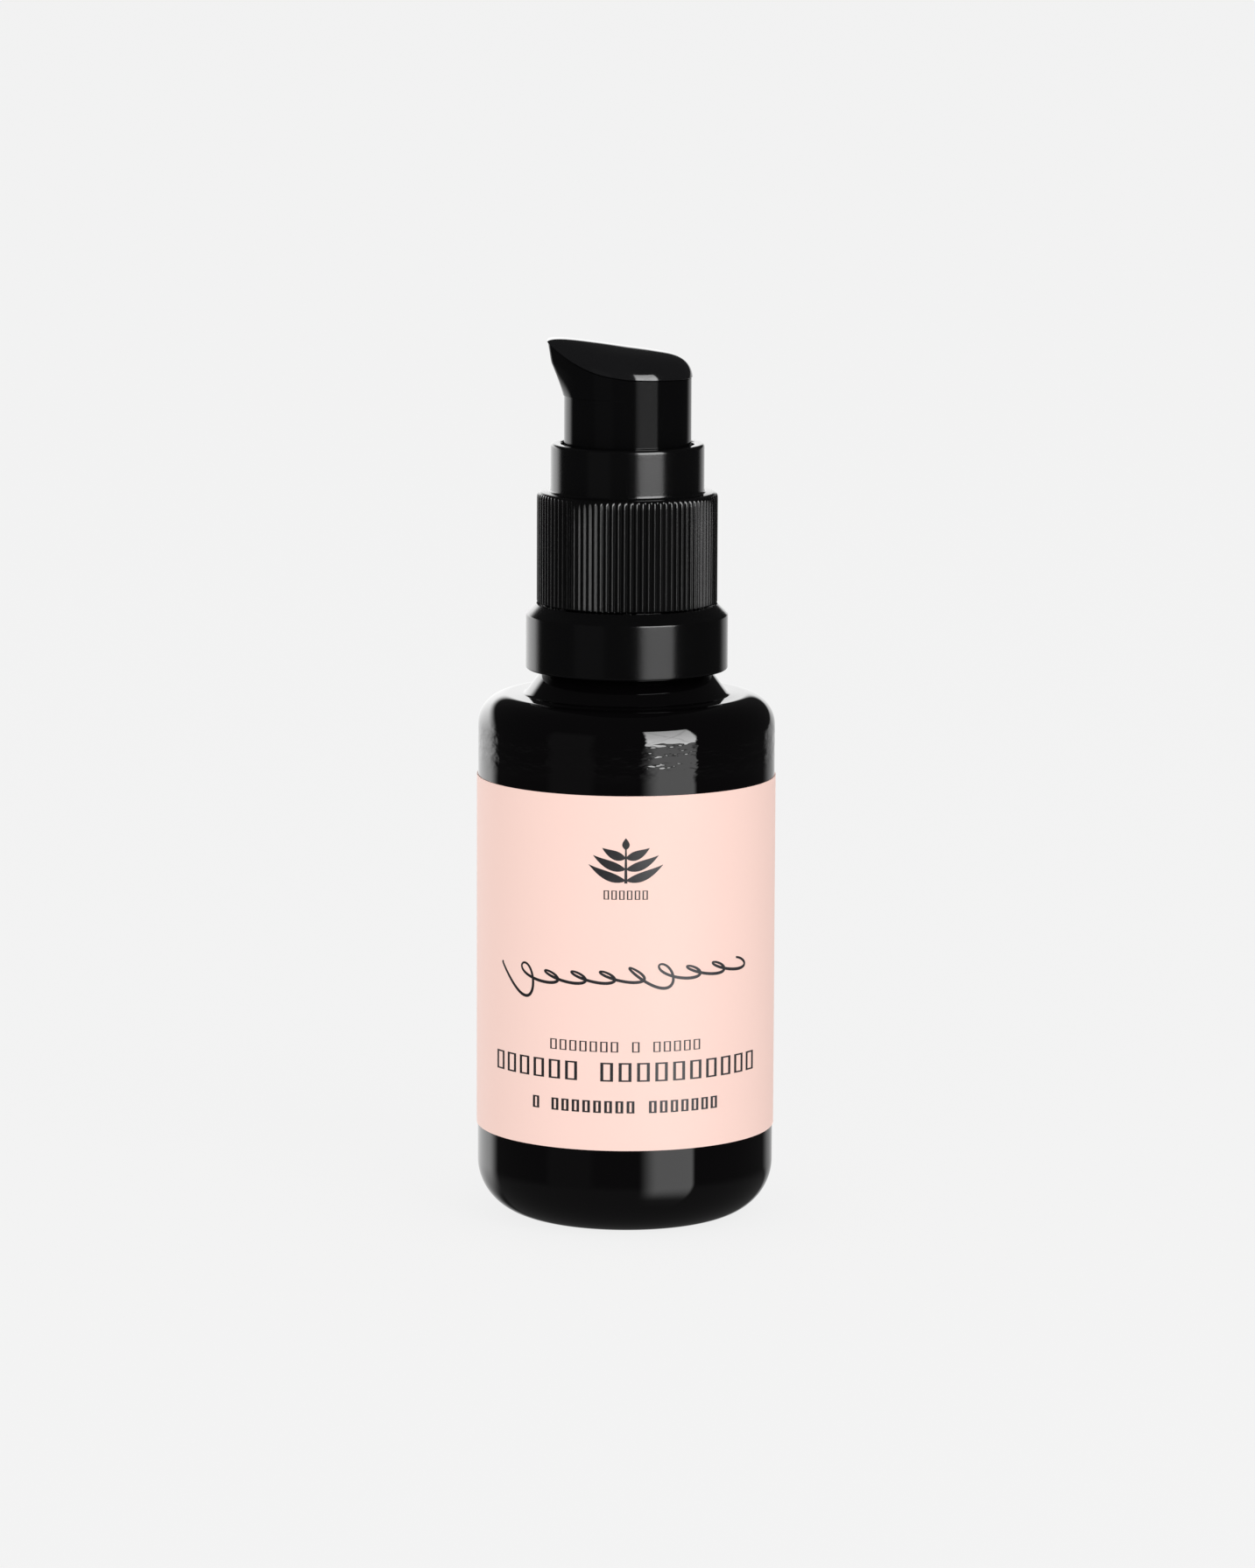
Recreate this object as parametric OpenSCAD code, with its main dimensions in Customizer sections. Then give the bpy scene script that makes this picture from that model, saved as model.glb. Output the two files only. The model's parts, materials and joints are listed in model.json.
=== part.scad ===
// Foundation bottle, 30 ml: dark glass bottle with an 18 mm screw neck, wrap label,
// tamper-evident ring, ribbed screw closure and a treatment pump with a beaked actuator.
// Origin at the centre of the base, +Z up. The spout points along -X.

/* [Bottle] */
// Outer diameter of the bottle body
body_d = 33; // [32.5:0.1:33.5]
// Height of the flat top of the shoulder
shoulder_z = 58.5; // [58.4:0.1:58.6]
// Radius of the heel at the base
heel_r = 6; // [5:0.5:7]
// Radius of the shoulder's outer edge
shoulder_r = 3.5; // [3:0.25:4]
// Thickness of the glass wall
glass_wall = 1.9; // [1.6:0.1:2.2]
// Thickness of the glass at the base
floor_t = 3.2; // [2.8:0.1:3.6]

/* [Neck] */
// Diameter of the plain neck below the locking bead
neck_d = 18.6; // [18.5:0.1:18.7]
// Height of the lip, where the gasket seals
lip_z = 78.7; // [78.5:0.1:78.8]
// Diameter of the mouth's bore
mouth_d = 11; // [10.8:0.1:11.2]
// Root diameter of the screw thread
thread_root_d = 15.8; // [15.7:0.1:15.9]
// Major diameter of the screw thread
thread_d = 17.8; // [17.7:0.1:17.8]
// Rise of the thread in one turn
thread_pitch = 3; // [2.8:0.1:3]

/* [Label] */
// Lower edge of the wrap label
label_z0 = 10.1; // [9:0.1:12]
// Upper edge of the wrap label
label_z1 = 49.5; // [47:0.1:51]
// Thickness of the label
label_t = 0.12; // [0.08:0.01:0.2]
// Width of the gap between the label's two ends
label_gap = 1.6; // [1:0.1:4]

/* [Tamper ring] */
// Outer diameter of the ring
ring_d = 22.4; // [22:0.1:23]
// Height of the ring's lower face
ring_z0 = 61.35; // [61:0.05:61.45]
// Height at which the ring's cone starts
ring_z1 = 67.4; // [67:0.1:67.6]
// Number of breakable bridges
bridges = 8; // [4:1:12]

/* [Screw closure] */
// Diameter over the ribs
closure_d = 20; // [19.9:0.1:20.2]
// Height of the closure's lower edge
closure_z0 = 68.7; // [68.5:0.1:68.7]
// Height of the ledge above the ribs
ledge_z = 81; // [80.8:0.1:81.2]
// Number of grip ribs
ribs = 92; // [60:1:100]
// Height of one rib above its valley
rib_h = 0.3; // [0.15:0.05:0.3]
// Outer diameter of the smooth collar
collar_d = 17; // [16.8:0.1:17.2]
// Diameter of the hole that the actuator slides in
collar_bore_d = 14.7; // [14.6:0.1:14.8]
// Height of the collar's rim
collar_z = 86.35; // [86:0.05:87]

/* [Pump] */
// Bore of the pump housing
pump_bore_d = 7; // [6.9:0.1:7.1]
// Outer diameter of the pump housing
housing_d = 9; // [8.8:0.1:9.2]
// Outer diameter of the stem
stem_d = 4; // [3.9:0.1:4.1]
// Outer diameter of the dip tube
dip_d = 3; // [2.8:0.1:3.1]
// Travel of the actuator
stroke = 4; // [3.5:0.1:4]
// Free travel of the piston along the stem
piston_slip = 0.5; // [0.3:0.1:0.5]
// Wire diameter of the return spring
wire_d = 0.5; // [0.4:0.05:0.55]
// Coils of the return spring
coils = 7; // [5:1:8]
// Diameter of the inlet ball
ball_d = 3; // [2.8:0.1:3.1]

/* [Actuator] */
// Outer diameter of the actuator's skirt
skirt_d = 14.1; // [14:0.05:14.2]
// Height of the lid's crown above the bottle's axis
crown_z = 97.05; // [96.8:0.05:97.2]
// Rise of the lid towards the spout
lid_slope = 0.136; // [0.12:0.002:0.15]
// How much lower the lid's crown is at its two sides than along its middle
lid_arch = 1.25; // [1:0.05:1.4]
// Distance of the spout's end from the axis
beak_reach = 8.9; // [8.5:0.1:9.5]
// Half width of the spout's end
beak_half_w = 2; // [1.6:0.1:2.4]
// Depth of the lid's rim at the back
rim_depth = 3.15; // [3:0.05:3.3]
// Depth of the lid's rim at the spout
tip_depth = 0.65; // [0.65:0.05:0.8]

/* [Hidden] */
$fn = 96;

eps = 0.01;
gap = 0.03;              // face to face running gap
slide_gap = 0.05;        // radial running gap
body_r = body_d / 2;
neck_r = neck_d / 2;
neck_fillet = 2.2;
bead_r = neck_r + 0.45;  // locking bead for the tamper ring
bead_z = 63;
bead_top_z = 64.2;
bead_chamfer = 0.3;
thread_z = 65.4;         // where the threaded part of the neck starts
root_r = thread_root_d / 2;
thread_r = thread_d / 2;
thread_turns = 1.75;
thread_start_z = 71.2;   // middle of the glass thread at angle zero
mouth_r = mouth_d / 2;
foot_r = 9;              // radius of the hollow under the base
foot_h = 0.8;
ceiling_z = shoulder_z - glass_wall - 0.4; // underside of the shoulder, inside
ceiling_r = 2.6;
mouth_flare = 3;

ring_r = ring_d / 2;
ring_top_z = closure_z0 - 0.15;
catch_r = neck_r + 0.12; // lip that holds the ring under the bead
catch_h = 1.25;
bridge_w = 0.8;
bridge_t = 0.5;

closure_r = closure_d / 2;
closure_in_r = thread_r + 0.15;
shelf_hole_r = 5.8;
groove_r = closure_in_r + 0.15; // where the internal thread is rooted in the wall

gasket_t = 0.6;
flange_z = lip_z + gasket_t;
flange_t = 0.7;
housing_top = flange_z + flange_t;
shelf_z = housing_top + gap; // underside of the closure's inner shelf
housing_r = housing_d / 2;
pump_r = pump_bore_d / 2;
spring_z0 = 59.6;        // spring seat in the housing
barrel_z = spring_z0 - 1.2;
ball_r = ball_d / 2;
chamber_r = 1.8;         // ball chamber
seat_z = 56;
inlet_r = 0.9;
inlet_z = 55.2;
seat_slope = (chamber_r - inlet_r) / (seat_z - inlet_z);
// centre of the ball, a running gap off its conical seat
ball_z = inlet_z + ((ball_r + gap) * norm([1, seat_slope]) - inlet_r) / seat_slope;
ball_play = 0.95;        // from the ball up to the noses that keep it in
nose_w = 0.7;
nose_r = 1.15;
neck_in_z = seat_z - 1.6; // where the housing narrows to the tube socket
socket_z1 = 53.8;        // end of the dip tube's socket
socket_z0 = 49;
socket_r = 2.7;
dip_z0 = 4.2;

cap_plug_z = 77.5;       // underside of the housing cap's plug
cap_top = 83.8;
stem_r = stem_d / 2;
stem_bore_r = 1;
stem_top = 92.3;
shoulder_bottom = 76.4;
stem_low_r = 1.6;
stop_r = 2.7;            // shoulder that stops the stem against the housing cap
slot_w = 0.8;
slot_h = 0.8;
poppet_z = 71.9;         // face on which the stem and the piston stand
poppet_t = 1;
poppet_r = 2.5;
boss_r = 1.9;
plug_h = 2.6;
plug_t = 0.6;
piston_h = shoulder_bottom - poppet_z - piston_slip - 2 * gap;
piston_r = pump_r - 0.9; // body of the piston, inside its lips
spring_z1 = poppet_z - poppet_t;
spring_r = 2.55;

skirt_r = skirt_d / 2;
skirt_wall = 0.9;
skirt_z0 = ledge_z + stroke + 0.3;
head_z = 91.7;           // lower edge of the spout
hub_r = 3;
hub_z0 = cap_top + stroke + 0.4;
lid_over = 0.1;          // how far the lid stands out past the body
rim_flat = 1.5;          // distance from the axis at which the rim starts to thin
flank_knee = 0.64;        // height share at which the spout's flank turns steep
flank_knee_growth = 0.8;
flank_curve = 1.15;
duct_z = 94;             // where the slanting duct leaves the axis
duct_r = 0.6;
duct_rise = atan(2.3 / 8.7);
well_r = 1.2;
well_h = 2.9;
rim_curve = 2.3;
back_taper = 0.1;        // how fast the rim thins towards the back
edge_curve = 6;          // the higher, the tighter the lid's edge is rounded
deck_rho = 0.8;
DECK = [deck_rho - 0.005, 0.55, 0.3, 0.05]; // rings of the deck under the lid, inwards
deck_depth = 0.65;
sides = 72;

// A disc profile from the axis out to r, between z0 and z1, with rounded outer corners.
module round_profile(r, z0, z1, r0, r1) {
    translate([0, z0 + r0]) square([r, z1 - z0 - r0 - r1]);
    translate([0, z0]) square([r - max(r0, r1), z1 - z0]);
    translate([0, z0]) square([r - r0, r0 + eps]);
    translate([0, z1 - r1 - eps]) square([r - r1, r1 + eps]);
    translate([r - r0, z0 + r0]) circle(r0);
    translate([r - r1, z1 - r1]) circle(r1);
}

// A tube between two heights.
module tube(r_out, r_in, z0, z1) {
    translate([0, 0, z0]) difference() {
        cylinder(r = r_out, h = z1 - z0);
        translate([0, 0, -eps]) cylinder(r = r_in, h = z1 - z0 + 2 * eps);
    }
}

// A solid made of rings of points that all have the same count, closed by its first and last ring.
module stacked_rings(rings) {
    n = len(rings[0]);
    sides_faces = [for (k = [0:len(rings) - 2], i = [0:n - 1], half = [0, 1])
        let (j = (i + 1) % n)
        half == 0 ? [k * n + i, (k + 1) * n + j, k * n + j]
                  : [k * n + i, (k + 1) * n + i, (k + 1) * n + j]];
    ends = [[for (i = [0:n - 1]) i], [for (i = [n - 1:-1:0]) (len(rings) - 1) * n + i]];
    polyhedron(points = [for (ring = rings) each ring], faces = concat(sides_faces, ends), convexity = 6);
}

// A right-hand helical ridge. The wide side is at r_base, the narrow crest at r_crest.
module thread_ridge(r_base, r_crest, base_w, crest_w, z_mid, turns) {
    steps = 48;
    stacked_rings([for (k = [0:ceil(steps * turns)])
        let (a = 360 * k / steps, z = z_mid + thread_pitch * a / 360,
             end = min(k, ceil(steps * turns) - k) / (steps / 8),
             crest = r_base + (r_crest - r_base) * min(1, max(0.15, end)),
             up = sign(r_crest - r_base) / 2)
        [for (p = [[r_base, base_w * up], [crest, crest_w * up],
                   [crest, -crest_w * up], [r_base, -base_w * up]])
            [p[0] * cos(a), p[0] * sin(a), z + p[1]]]]);
}

// A neck of radius r that flares out with a concave fillet down to height z.
module flared_foot(r, z, fillet) {
    difference() {
        translate([0, z - eps]) square([r + fillet, fillet + eps]);
        translate([r + fillet, z + fillet]) circle(fillet);
    }
}

module glass_outline() {
    round_profile(body_r, 0, shoulder_z, heel_r, shoulder_r);
    flared_foot(neck_r, shoulder_z, neck_fillet);
    translate([0, shoulder_z]) square([neck_r, bead_z - shoulder_z]);
    polygon([[0, bead_z - eps], [neck_r, bead_z - eps], [bead_r, bead_z + bead_chamfer],
             [bead_r, bead_top_z], [root_r, thread_z], [0, thread_z]]);
    round_profile(root_r, thread_z - 1, lip_z, 0.2, 0.6);
}

module glass_hollow() {
    round_profile(body_r - glass_wall, floor_t, ceiling_z, heel_r - glass_wall, ceiling_r);
    flared_foot(mouth_r, ceiling_z, mouth_flare);
    translate([0, ceiling_z]) square([mouth_r, lip_z - ceiling_z + 1]);
}

module glass_bottle() {
    foot_ball = (foot_r * foot_r + foot_h * foot_h) / (2 * foot_h);
    color("#0c0a10") {
        difference() {
            rotate_extrude() difference() { glass_outline(); glass_hollow(); }
            translate([0, 0, foot_h - foot_ball]) sphere(r = foot_ball);
        }
        thread_ridge(root_r - 0.15, thread_r, 2.2, 1, thread_start_z, thread_turns);
    }
}

module wrap_label() {
    open_angle = label_gap / body_r * 180 / PI;
    color("#fbdad2") rotate([0, 0, 90 + open_angle / 2]) rotate_extrude(angle = 360 - open_angle)
        translate([body_r, label_z0]) square([label_t, label_z1 - label_z0]);
}

module tamper_ring() {
    color("#141416") {
        rotate_extrude() difference() {
            union() {
                round_profile(ring_r, ring_z0, ring_z1, 0.3, eps);
                polygon([[0, ring_z1 - 1], [ring_r, ring_z1 - 1], [ring_r, ring_z1],
                         [closure_r + 0.05, ring_top_z], [0, ring_top_z]]);
            }
            translate([0, ring_z0 - 1]) square([catch_r, ring_top_z - ring_z0 + 2]);
            translate([0, ring_z0 + catch_h])
                square([bead_r + 0.15, bead_top_z + 0.9 - ring_z0 - catch_h]);
        }
        for (i = [0:bridges - 1]) rotate([0, 0, 360 * i / bridges])
            translate([neck_r + 0.2, -bridge_w / 2, ring_top_z - 0.2])
                cube([bridge_t, bridge_w, closure_z0 - gap - ring_top_z + 0.2]);
    }
}

// Outline of the ribbed skirt: each rib is a small trapezium on the valley circle.
function rib_points() = [for (i = [0:ribs - 1], p = [[-0.36, 0], [-0.12, 1], [0.12, 1], [0.36, 0]])
    let (a = 360 * (i + p[0]) / ribs, r = closure_r - rib_h + rib_h * p[1]) [r * cos(a), r * sin(a)]];

module screw_closure() {
    color("#151517") {
        difference() {
            union() {
                intersection() {
                    translate([0, 0, closure_z0])
                        linear_extrude(ledge_z - closure_z0) polygon(rib_points());
                    rotate_extrude() polygon([[0, closure_z0], [closure_r - 0.25, closure_z0],
                        [closure_r, closure_z0 + 0.3], [closure_r, ledge_z - 0.6],
                        [closure_r - 0.5, ledge_z], [0, ledge_z]]);
                }
                rotate_extrude() round_profile(collar_d / 2, ledge_z - 1, collar_z, 0.2, 0.4);
            }
            translate([0, 0, closure_z0 - 1]) cylinder(r = closure_in_r, h = shelf_z - closure_z0 + 1);
            translate([0, 0, shelf_z - 1]) cylinder(r = shelf_hole_r, h = 5);
            translate([0, 0, ledge_z]) cylinder(r = collar_bore_d / 2, h = collar_z - ledge_z + 1);
        }
        thread_ridge(groove_r, root_r + 0.25, 1.9, 0.7, thread_start_z - thread_pitch / 2, 1.6);
    }
}

module neck_gasket() {
    color("#e8e8e4") tube(root_r, housing_r + 0.1, lip_z, flange_z);
}

module pump_housing() {
    color("#e9ebec") difference() {
        rotate_extrude() {
            translate([0, flange_z]) square([root_r - 0.2, flange_t]);
            translate([0, barrel_z]) square([housing_r, housing_top - barrel_z]);
            polygon([[0, neck_in_z], [socket_r, neck_in_z], [housing_r, barrel_z], [0, barrel_z]]);
            translate([0, socket_z0]) square([socket_r, neck_in_z - socket_z0]);
        }
        translate([0, 0, spring_z0]) cylinder(r = pump_r, h = 30);
        difference() {
            translate([0, 0, seat_z]) cylinder(r = chamber_r, h = spring_z0 - seat_z + eps);
            // three small noses keep the ball in its chamber
            for (i = [0:2]) rotate([0, 0, 120 * i])
                translate([nose_r, -nose_w / 2, ball_z + ball_r + ball_play]) cube([1, nose_w, 1]);
        }
        translate([0, 0, inlet_z]) cylinder(r1 = inlet_r, r2 = chamber_r, h = seat_z - inlet_z + eps);
        translate([0, 0, socket_z0]) cylinder(r = inlet_r, h = inlet_z - socket_z0 + eps);
        translate([0, 0, socket_z0 - 1]) cylinder(r = dip_d / 2, h = socket_z1 - socket_z0 + 1);
    }
}

module housing_cap() {
    color("#e9ebec") difference() {
        union() {
            translate([0, 0, cap_plug_z]) cylinder(r = pump_r, h = housing_top - cap_plug_z + eps);
            translate([0, 0, housing_top]) cylinder(r = shelf_hole_r - 0.2, h = cap_top - housing_top - 1);
            tube(stem_r + 1.3, stem_r, cap_top - 1.5, cap_top);
        }
        translate([0, 0, cap_plug_z - 1]) cylinder(r = stem_r + slide_gap, h = 10);
    }
}

module dip_tube() {
    color("#dfe5e8") difference() {
        tube(dip_d / 2, dip_d / 2 - 0.5, dip_z0, socket_z1);
        translate([0, 0, dip_z0]) rotate([0, 35, 0]) translate([-4, -4, -4]) cube([8, 8, 4]);
    }
}

module inlet_ball() {
    color("#c9ccd0") translate([0, 0, ball_z]) sphere(r = ball_r);
}

module stem() {
    color("#e9ebec") difference() {
        union() {
            translate([0, 0, shoulder_bottom]) cylinder(r = stem_r, h = stem_top - shoulder_bottom);
            translate([0, 0, shoulder_bottom]) cylinder(r = stop_r, h = cap_plug_z - gap - shoulder_bottom);
            translate([0, 0, poppet_z]) cylinder(r = stem_low_r, h = shoulder_bottom - poppet_z + eps);
        }
        translate([0, 0, poppet_z - 1]) cylinder(r = stem_bore_r, h = 30);
        for (a = [0, 90]) rotate([0, 0, a])
            translate([-stop_r, -slot_w / 2, poppet_z - 1]) cube([2 * stop_r, slot_w, 1 + slot_h]);
    }
}

module poppet() {
    color("#e4e7e8") {
        translate([0, 0, spring_z1]) cylinder(r = poppet_r, h = poppet_t);
        translate([0, 0, spring_z1 - 1]) cylinder(r = boss_r, h = 1 + eps);
        intersection() {
            translate([0, 0, poppet_z - eps]) cylinder(r = stem_bore_r, h = plug_h);
            for (a = [45, 135]) rotate([0, 0, a])
                translate([-boss_r, -plug_t / 2, poppet_z - 1]) cube([2 * boss_r, plug_t, plug_h + 2]);
        }
    }
}

module piston() {
    z0 = poppet_z + gap;
    z1 = z0 + piston_h;
    lip_r = pump_r - slide_gap;
    lip_foot = 1.2;
    lip_root = 1.9;
    color("#f2f2ee") rotate_extrude() difference() {
        union() {
            translate([0, z0]) square([piston_r, piston_h]);
            // a lip that leans out at each end
            polygon([[0, z0 + lip_foot], [piston_r, z0 + lip_foot], [lip_r, z0 + 0.3], [lip_r, z0 + 1.1],
                     [piston_r, z0 + lip_root], [piston_r, z1 - lip_root], [lip_r, z1 - 1.1],
                     [lip_r, z1 - 0.3], [piston_r, z1 - lip_foot], [0, z1 - lip_foot]]);
        }
        translate([0, z0 - 1]) square([stem_low_r + slide_gap, piston_h + 2]);
    }
}

module return_spring() {
    steps = 20;
    wire_r = wire_d / 2;
    rise = spring_z1 - spring_z0 - wire_d - 2 * gap;
    color("#b9bcc0") stacked_rings([for (k = [0:coils * steps])
        let (a = 360 * k / steps, z = spring_z0 + gap + wire_r + rise * k / (coils * steps))
        [for (b = [0:60:300]) let (r = spring_r + wire_r * cos(b))
            [r * cos(a), r * sin(a), z + wire_r * sin(b)]]]);
}

// Plan outline of the head: a circle drawn out along straight tangents to the spout's flat end.
// Angles are measured from the spout, -X.
function plan_r(a, over) =
    let (r = skirt_r + over, reach = beak_reach - lid_over + over, w = beak_half_w - lid_over + over,
         t = abs(a), corner = atan(w / reach), tangent = corner + acos(r / norm([reach, w])))
    t < corner ? reach / cos(t) : t < tangent ? r / cos(tangent - t) : r;

function turn(i) = 360 * i / sides - 180;
function at(a, r, z) = [-r * cos(a), -r * sin(a), z];
function lid_plane(x) = crown_z - lid_slope * x;
function arch(y) = lid_arch * pow(y / skirt_r, 2);

// Depth of the lid's rim below the crown's middle line, from the back round to the spout.
function rim(a) = let (x = -plan_r(a, lid_over) * cos(a),
                       s = max(0, -x - rim_flat) / (beak_reach - rim_flat))
    rim_depth - (rim_depth - tip_depth) * pow(s, rim_curve) - back_taper * max(0, x);

function seam_z(a, r) = lid_plane(-r * cos(a)) - rim(a);

// Growth of the spout's section from its lower edge (0) to the seam (1).
function growth(u) = u < flank_knee ? flank_knee_growth * pow(u / flank_knee, flank_curve)
    : flank_knee_growth + (1 - flank_knee_growth) * (u - flank_knee) / (1 - flank_knee);

function body_ring(u) = [for (i = [0:sides - 1])
    let (a = turn(i), top = plan_r(a, 0), low = skirt_r - eps + 0.13 * max(0, cos(a)),
         r = low + (max(top, low) - low) * growth(u)) at(a, r, head_z + (seam_z(a, r) - head_z) * u)];

// A ring of the lid: drop 0 lies on its crowned plane and drop 1 at the seam.
function lid_ring(rho, drop) = [for (i = [0:sides - 1])
    let (a = turn(i), edge = plan_r(a, lid_over), r = rho * edge, fall = rim(a) - arch(edge * sin(a)))
    at(a, r, lid_plane(-r * cos(a)) - arch(r * sin(a)) - drop * fall)];

function deck_ring(rho) = [for (i = [0:sides - 1])
    let (a = turn(i), r = rho * plan_r(a, lid_over))
    at(a, r, lid_plane(-r * cos(a)) - arch(r * sin(a)) - deck_depth)];

// Drop of the lid's rounded edge: 0 in the middle and 1 at the seam.
function crown_drop(rho) = 1 - sqrt(1 - pow(rho, edge_curve));

module actuator_body() {
    color("#121214") difference() {
        union() {
            tube(skirt_r, skirt_r - skirt_wall, skirt_z0, head_z);
            translate([0, 0, hub_z0]) cylinder(r = hub_r, h = head_z - hub_z0);
            stacked_rings(concat([for (u = [0, 0.2, 0.45, flank_knee, 1]) body_ring(u)],
                                 [lid_ring(deck_rho, 1)], [for (rho = DECK) deck_ring(rho)]));
        }
        translate([0, 0, hub_z0 - 1]) cylinder(r = stem_r + gap, h = stem_top + 0.1 - hub_z0 + 1);
        translate([0, 0, head_z]) cylinder(r = well_r, h = well_h);
        translate([0, 0, duct_z]) rotate([0, duct_rise - 90, 0]) cylinder(r = duct_r, h = beak_reach + 3);
    }
}

module actuator_lid() {
    top = [for (rho = [1, 0.995, 0.98, 0.955, 0.92, 0.86, 0.78, 0.66, 0.45, 0.25, 0.05]) lid_ring(rho, crown_drop(rho))];
    under = [for (i = [len(DECK) - 1:-1:0]) deck_ring(DECK[i])];
    color("#101012") stacked_rings(concat(under, [lid_ring(deck_rho, 1)], top));
}

glass_bottle();
wrap_label();
tamper_ring();
screw_closure();
neck_gasket();
pump_housing();
housing_cap();
dip_tube();
inlet_ball();
stem();
poppet();
piston();
return_spring();
actuator_body();
actuator_lid();
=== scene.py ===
"""Looks for the foundation bottle: dark glass, wrap label, ribbed screw closure and treatment pump."""

import json
import math

import bmesh
import bpy
from mathutils import Matrix, Vector


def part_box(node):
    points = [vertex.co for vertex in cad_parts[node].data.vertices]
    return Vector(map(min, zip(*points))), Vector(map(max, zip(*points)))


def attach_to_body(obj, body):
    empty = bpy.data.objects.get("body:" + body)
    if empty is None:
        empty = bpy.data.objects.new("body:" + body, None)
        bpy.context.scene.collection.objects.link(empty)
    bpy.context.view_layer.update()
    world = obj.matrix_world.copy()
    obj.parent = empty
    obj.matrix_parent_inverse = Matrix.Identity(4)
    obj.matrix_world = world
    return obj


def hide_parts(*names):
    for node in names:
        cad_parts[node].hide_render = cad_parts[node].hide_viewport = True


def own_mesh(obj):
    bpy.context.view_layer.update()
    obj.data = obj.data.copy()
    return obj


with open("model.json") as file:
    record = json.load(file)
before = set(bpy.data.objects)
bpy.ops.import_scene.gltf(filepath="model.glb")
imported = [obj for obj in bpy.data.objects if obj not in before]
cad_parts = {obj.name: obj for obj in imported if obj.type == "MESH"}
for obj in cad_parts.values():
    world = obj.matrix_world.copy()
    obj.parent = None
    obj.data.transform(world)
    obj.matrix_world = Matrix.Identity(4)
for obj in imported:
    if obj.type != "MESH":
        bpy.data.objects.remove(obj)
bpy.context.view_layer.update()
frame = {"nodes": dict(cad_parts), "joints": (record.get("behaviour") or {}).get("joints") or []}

MM = 0.001
SIDES = 256
SHARP = math.radians(35)


# ---------------------------------------------------------------- shader maths

class Wire:
    """One output of a node. Arithmetic on it adds Math nodes."""

    def __init__(self, nodes, socket):
        self.nodes = nodes
        self.socket = socket

    def maths(self, operation, *values):
        return self.nodes.add("Math", {"operation": operation}, dict(enumerate(values)))

    def __add__(self, other):
        return self.maths("ADD", self, other)

    def __sub__(self, other):
        return self.maths("SUBTRACT", self, other)

    def __rsub__(self, other):
        return self.maths("SUBTRACT", other, self)

    def __mul__(self, other):
        return self.maths("MULTIPLY", self, other)

    def __truediv__(self, other):
        return self.maths("DIVIDE", self, other)

    __radd__ = __add__
    __rmul__ = __mul__


class Nodes:
    """A node tree that grows by one method, plus the few patterns the finishes share."""

    def __init__(self, tree):
        self.tree = tree
        tree.nodes.clear()

    def add(self, kind, settings=None, sockets=None, out=0):
        """Adds ShaderNode<kind>: its settings first, then the values or wires of its sockets."""
        node = self.tree.nodes.new("ShaderNode" + kind)
        for name, value in (settings or {}).items():
            setattr(node, name, value)
        for name, value in (sockets or {}).items():
            if isinstance(value, Wire):
                self.tree.links.new(value.socket, node.inputs[name])
            else:
                node.inputs[name].default_value = value
        return Wire(self, node.outputs[out]) if node.outputs else node

    def place(self):
        """Where a point is on the piece, in metres."""
        return self.add("TexCoord", out="Object")

    def split(self, vector):
        node = self.add("SeparateXYZ", None, {0: vector}).socket.node
        return [Wire(self, output) for output in node.outputs]

    def stretched(self, scale):
        return self.add("VectorMath", {"operation": "MULTIPLY"}, {0: self.place(), 1: scale})

    def noise(self, per_metre, detail=3.0, roughness=0.5, vector=None):
        """Noise from 0 to 1 with that many cells in a metre."""
        return self.add("TexNoise", None, {"Vector": vector or self.place(), "Scale": per_metre,
                                           "Detail": detail, "Roughness": roughness})

    def cells(self, per_metre):
        return self.add("TexVoronoi", None, {"Vector": self.place(), "Scale": per_metre})

    def ramp(self, value, low, high):
        """0 below low, 1 above high, smooth between."""
        return self.add("MapRange", {"interpolation_type": "SMOOTHSTEP"},
                        {"Value": value, "From Min": low, "From Max": high})

    def band(self, value, low, high, soft):
        return self.ramp(value, low - soft, low + soft) * (1 - self.ramp(value, high - soft, high + soft))

    def mix(self, share, one, other):
        return self.add("Mix", {"data_type": "RGBA"}, {0: share, 6: one, 7: other}, out=2)

    def bump(self, height, depth, strength=1.0):
        return self.add("Bump", None, {"Height": height, "Distance": depth, "Strength": strength})

    def surface(self, **sockets):
        """The finished surface; a socket's name has underscores for spaces."""
        shader = self.add("BsdfPrincipled", None,
                          {name.replace("_", " "): value for name, value in sockets.items()})
        self.add("OutputMaterial", None, {"Surface": shader})


def finish(name):
    material = bpy.data.materials.new(name)
    material.use_nodes = True
    return material, Nodes(material.node_tree)


def rgb(red, green, blue):
    return (red, green, blue, 1.0)


def dark_glass():
    """Near-black polished glass, slightly wavy where the shoulder was blown."""
    material, n = finish("dark_glass")
    height = n.split(n.place())[2]
    shoulder = n.band(height, 0.0515, 0.0556, 0.0012)
    ripple = n.noise(420, 2.0, vector=n.stretched((1, 1, 2.6)))
    slow = n.noise(60, 1.0)
    n.surface(Base_Color=rgb(0.0016, 0.0014, 0.0016), Roughness=0.02 + n.noise(300) * 0.02, IOR=1.52,
              Normal=n.bump(ripple * shoulder + slow, 0.00008))
    return material


def label_film():
    """Pale pink satin film with a faint print grain."""
    material, n = finish("label_film")
    grain = n.noise(9000, 2.0)
    cloud = n.noise(90, 2.0)
    colour = n.mix(grain * 0.35 + cloud * 0.5, rgb(0.930, 0.660, 0.588), rgb(0.955, 0.688, 0.616))
    n.surface(Base_Color=colour, Roughness=0.40 + grain * 0.10, Specular_IOR_Level=0.12,
              Normal=n.bump(grain, 0.000004))
    return material


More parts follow.
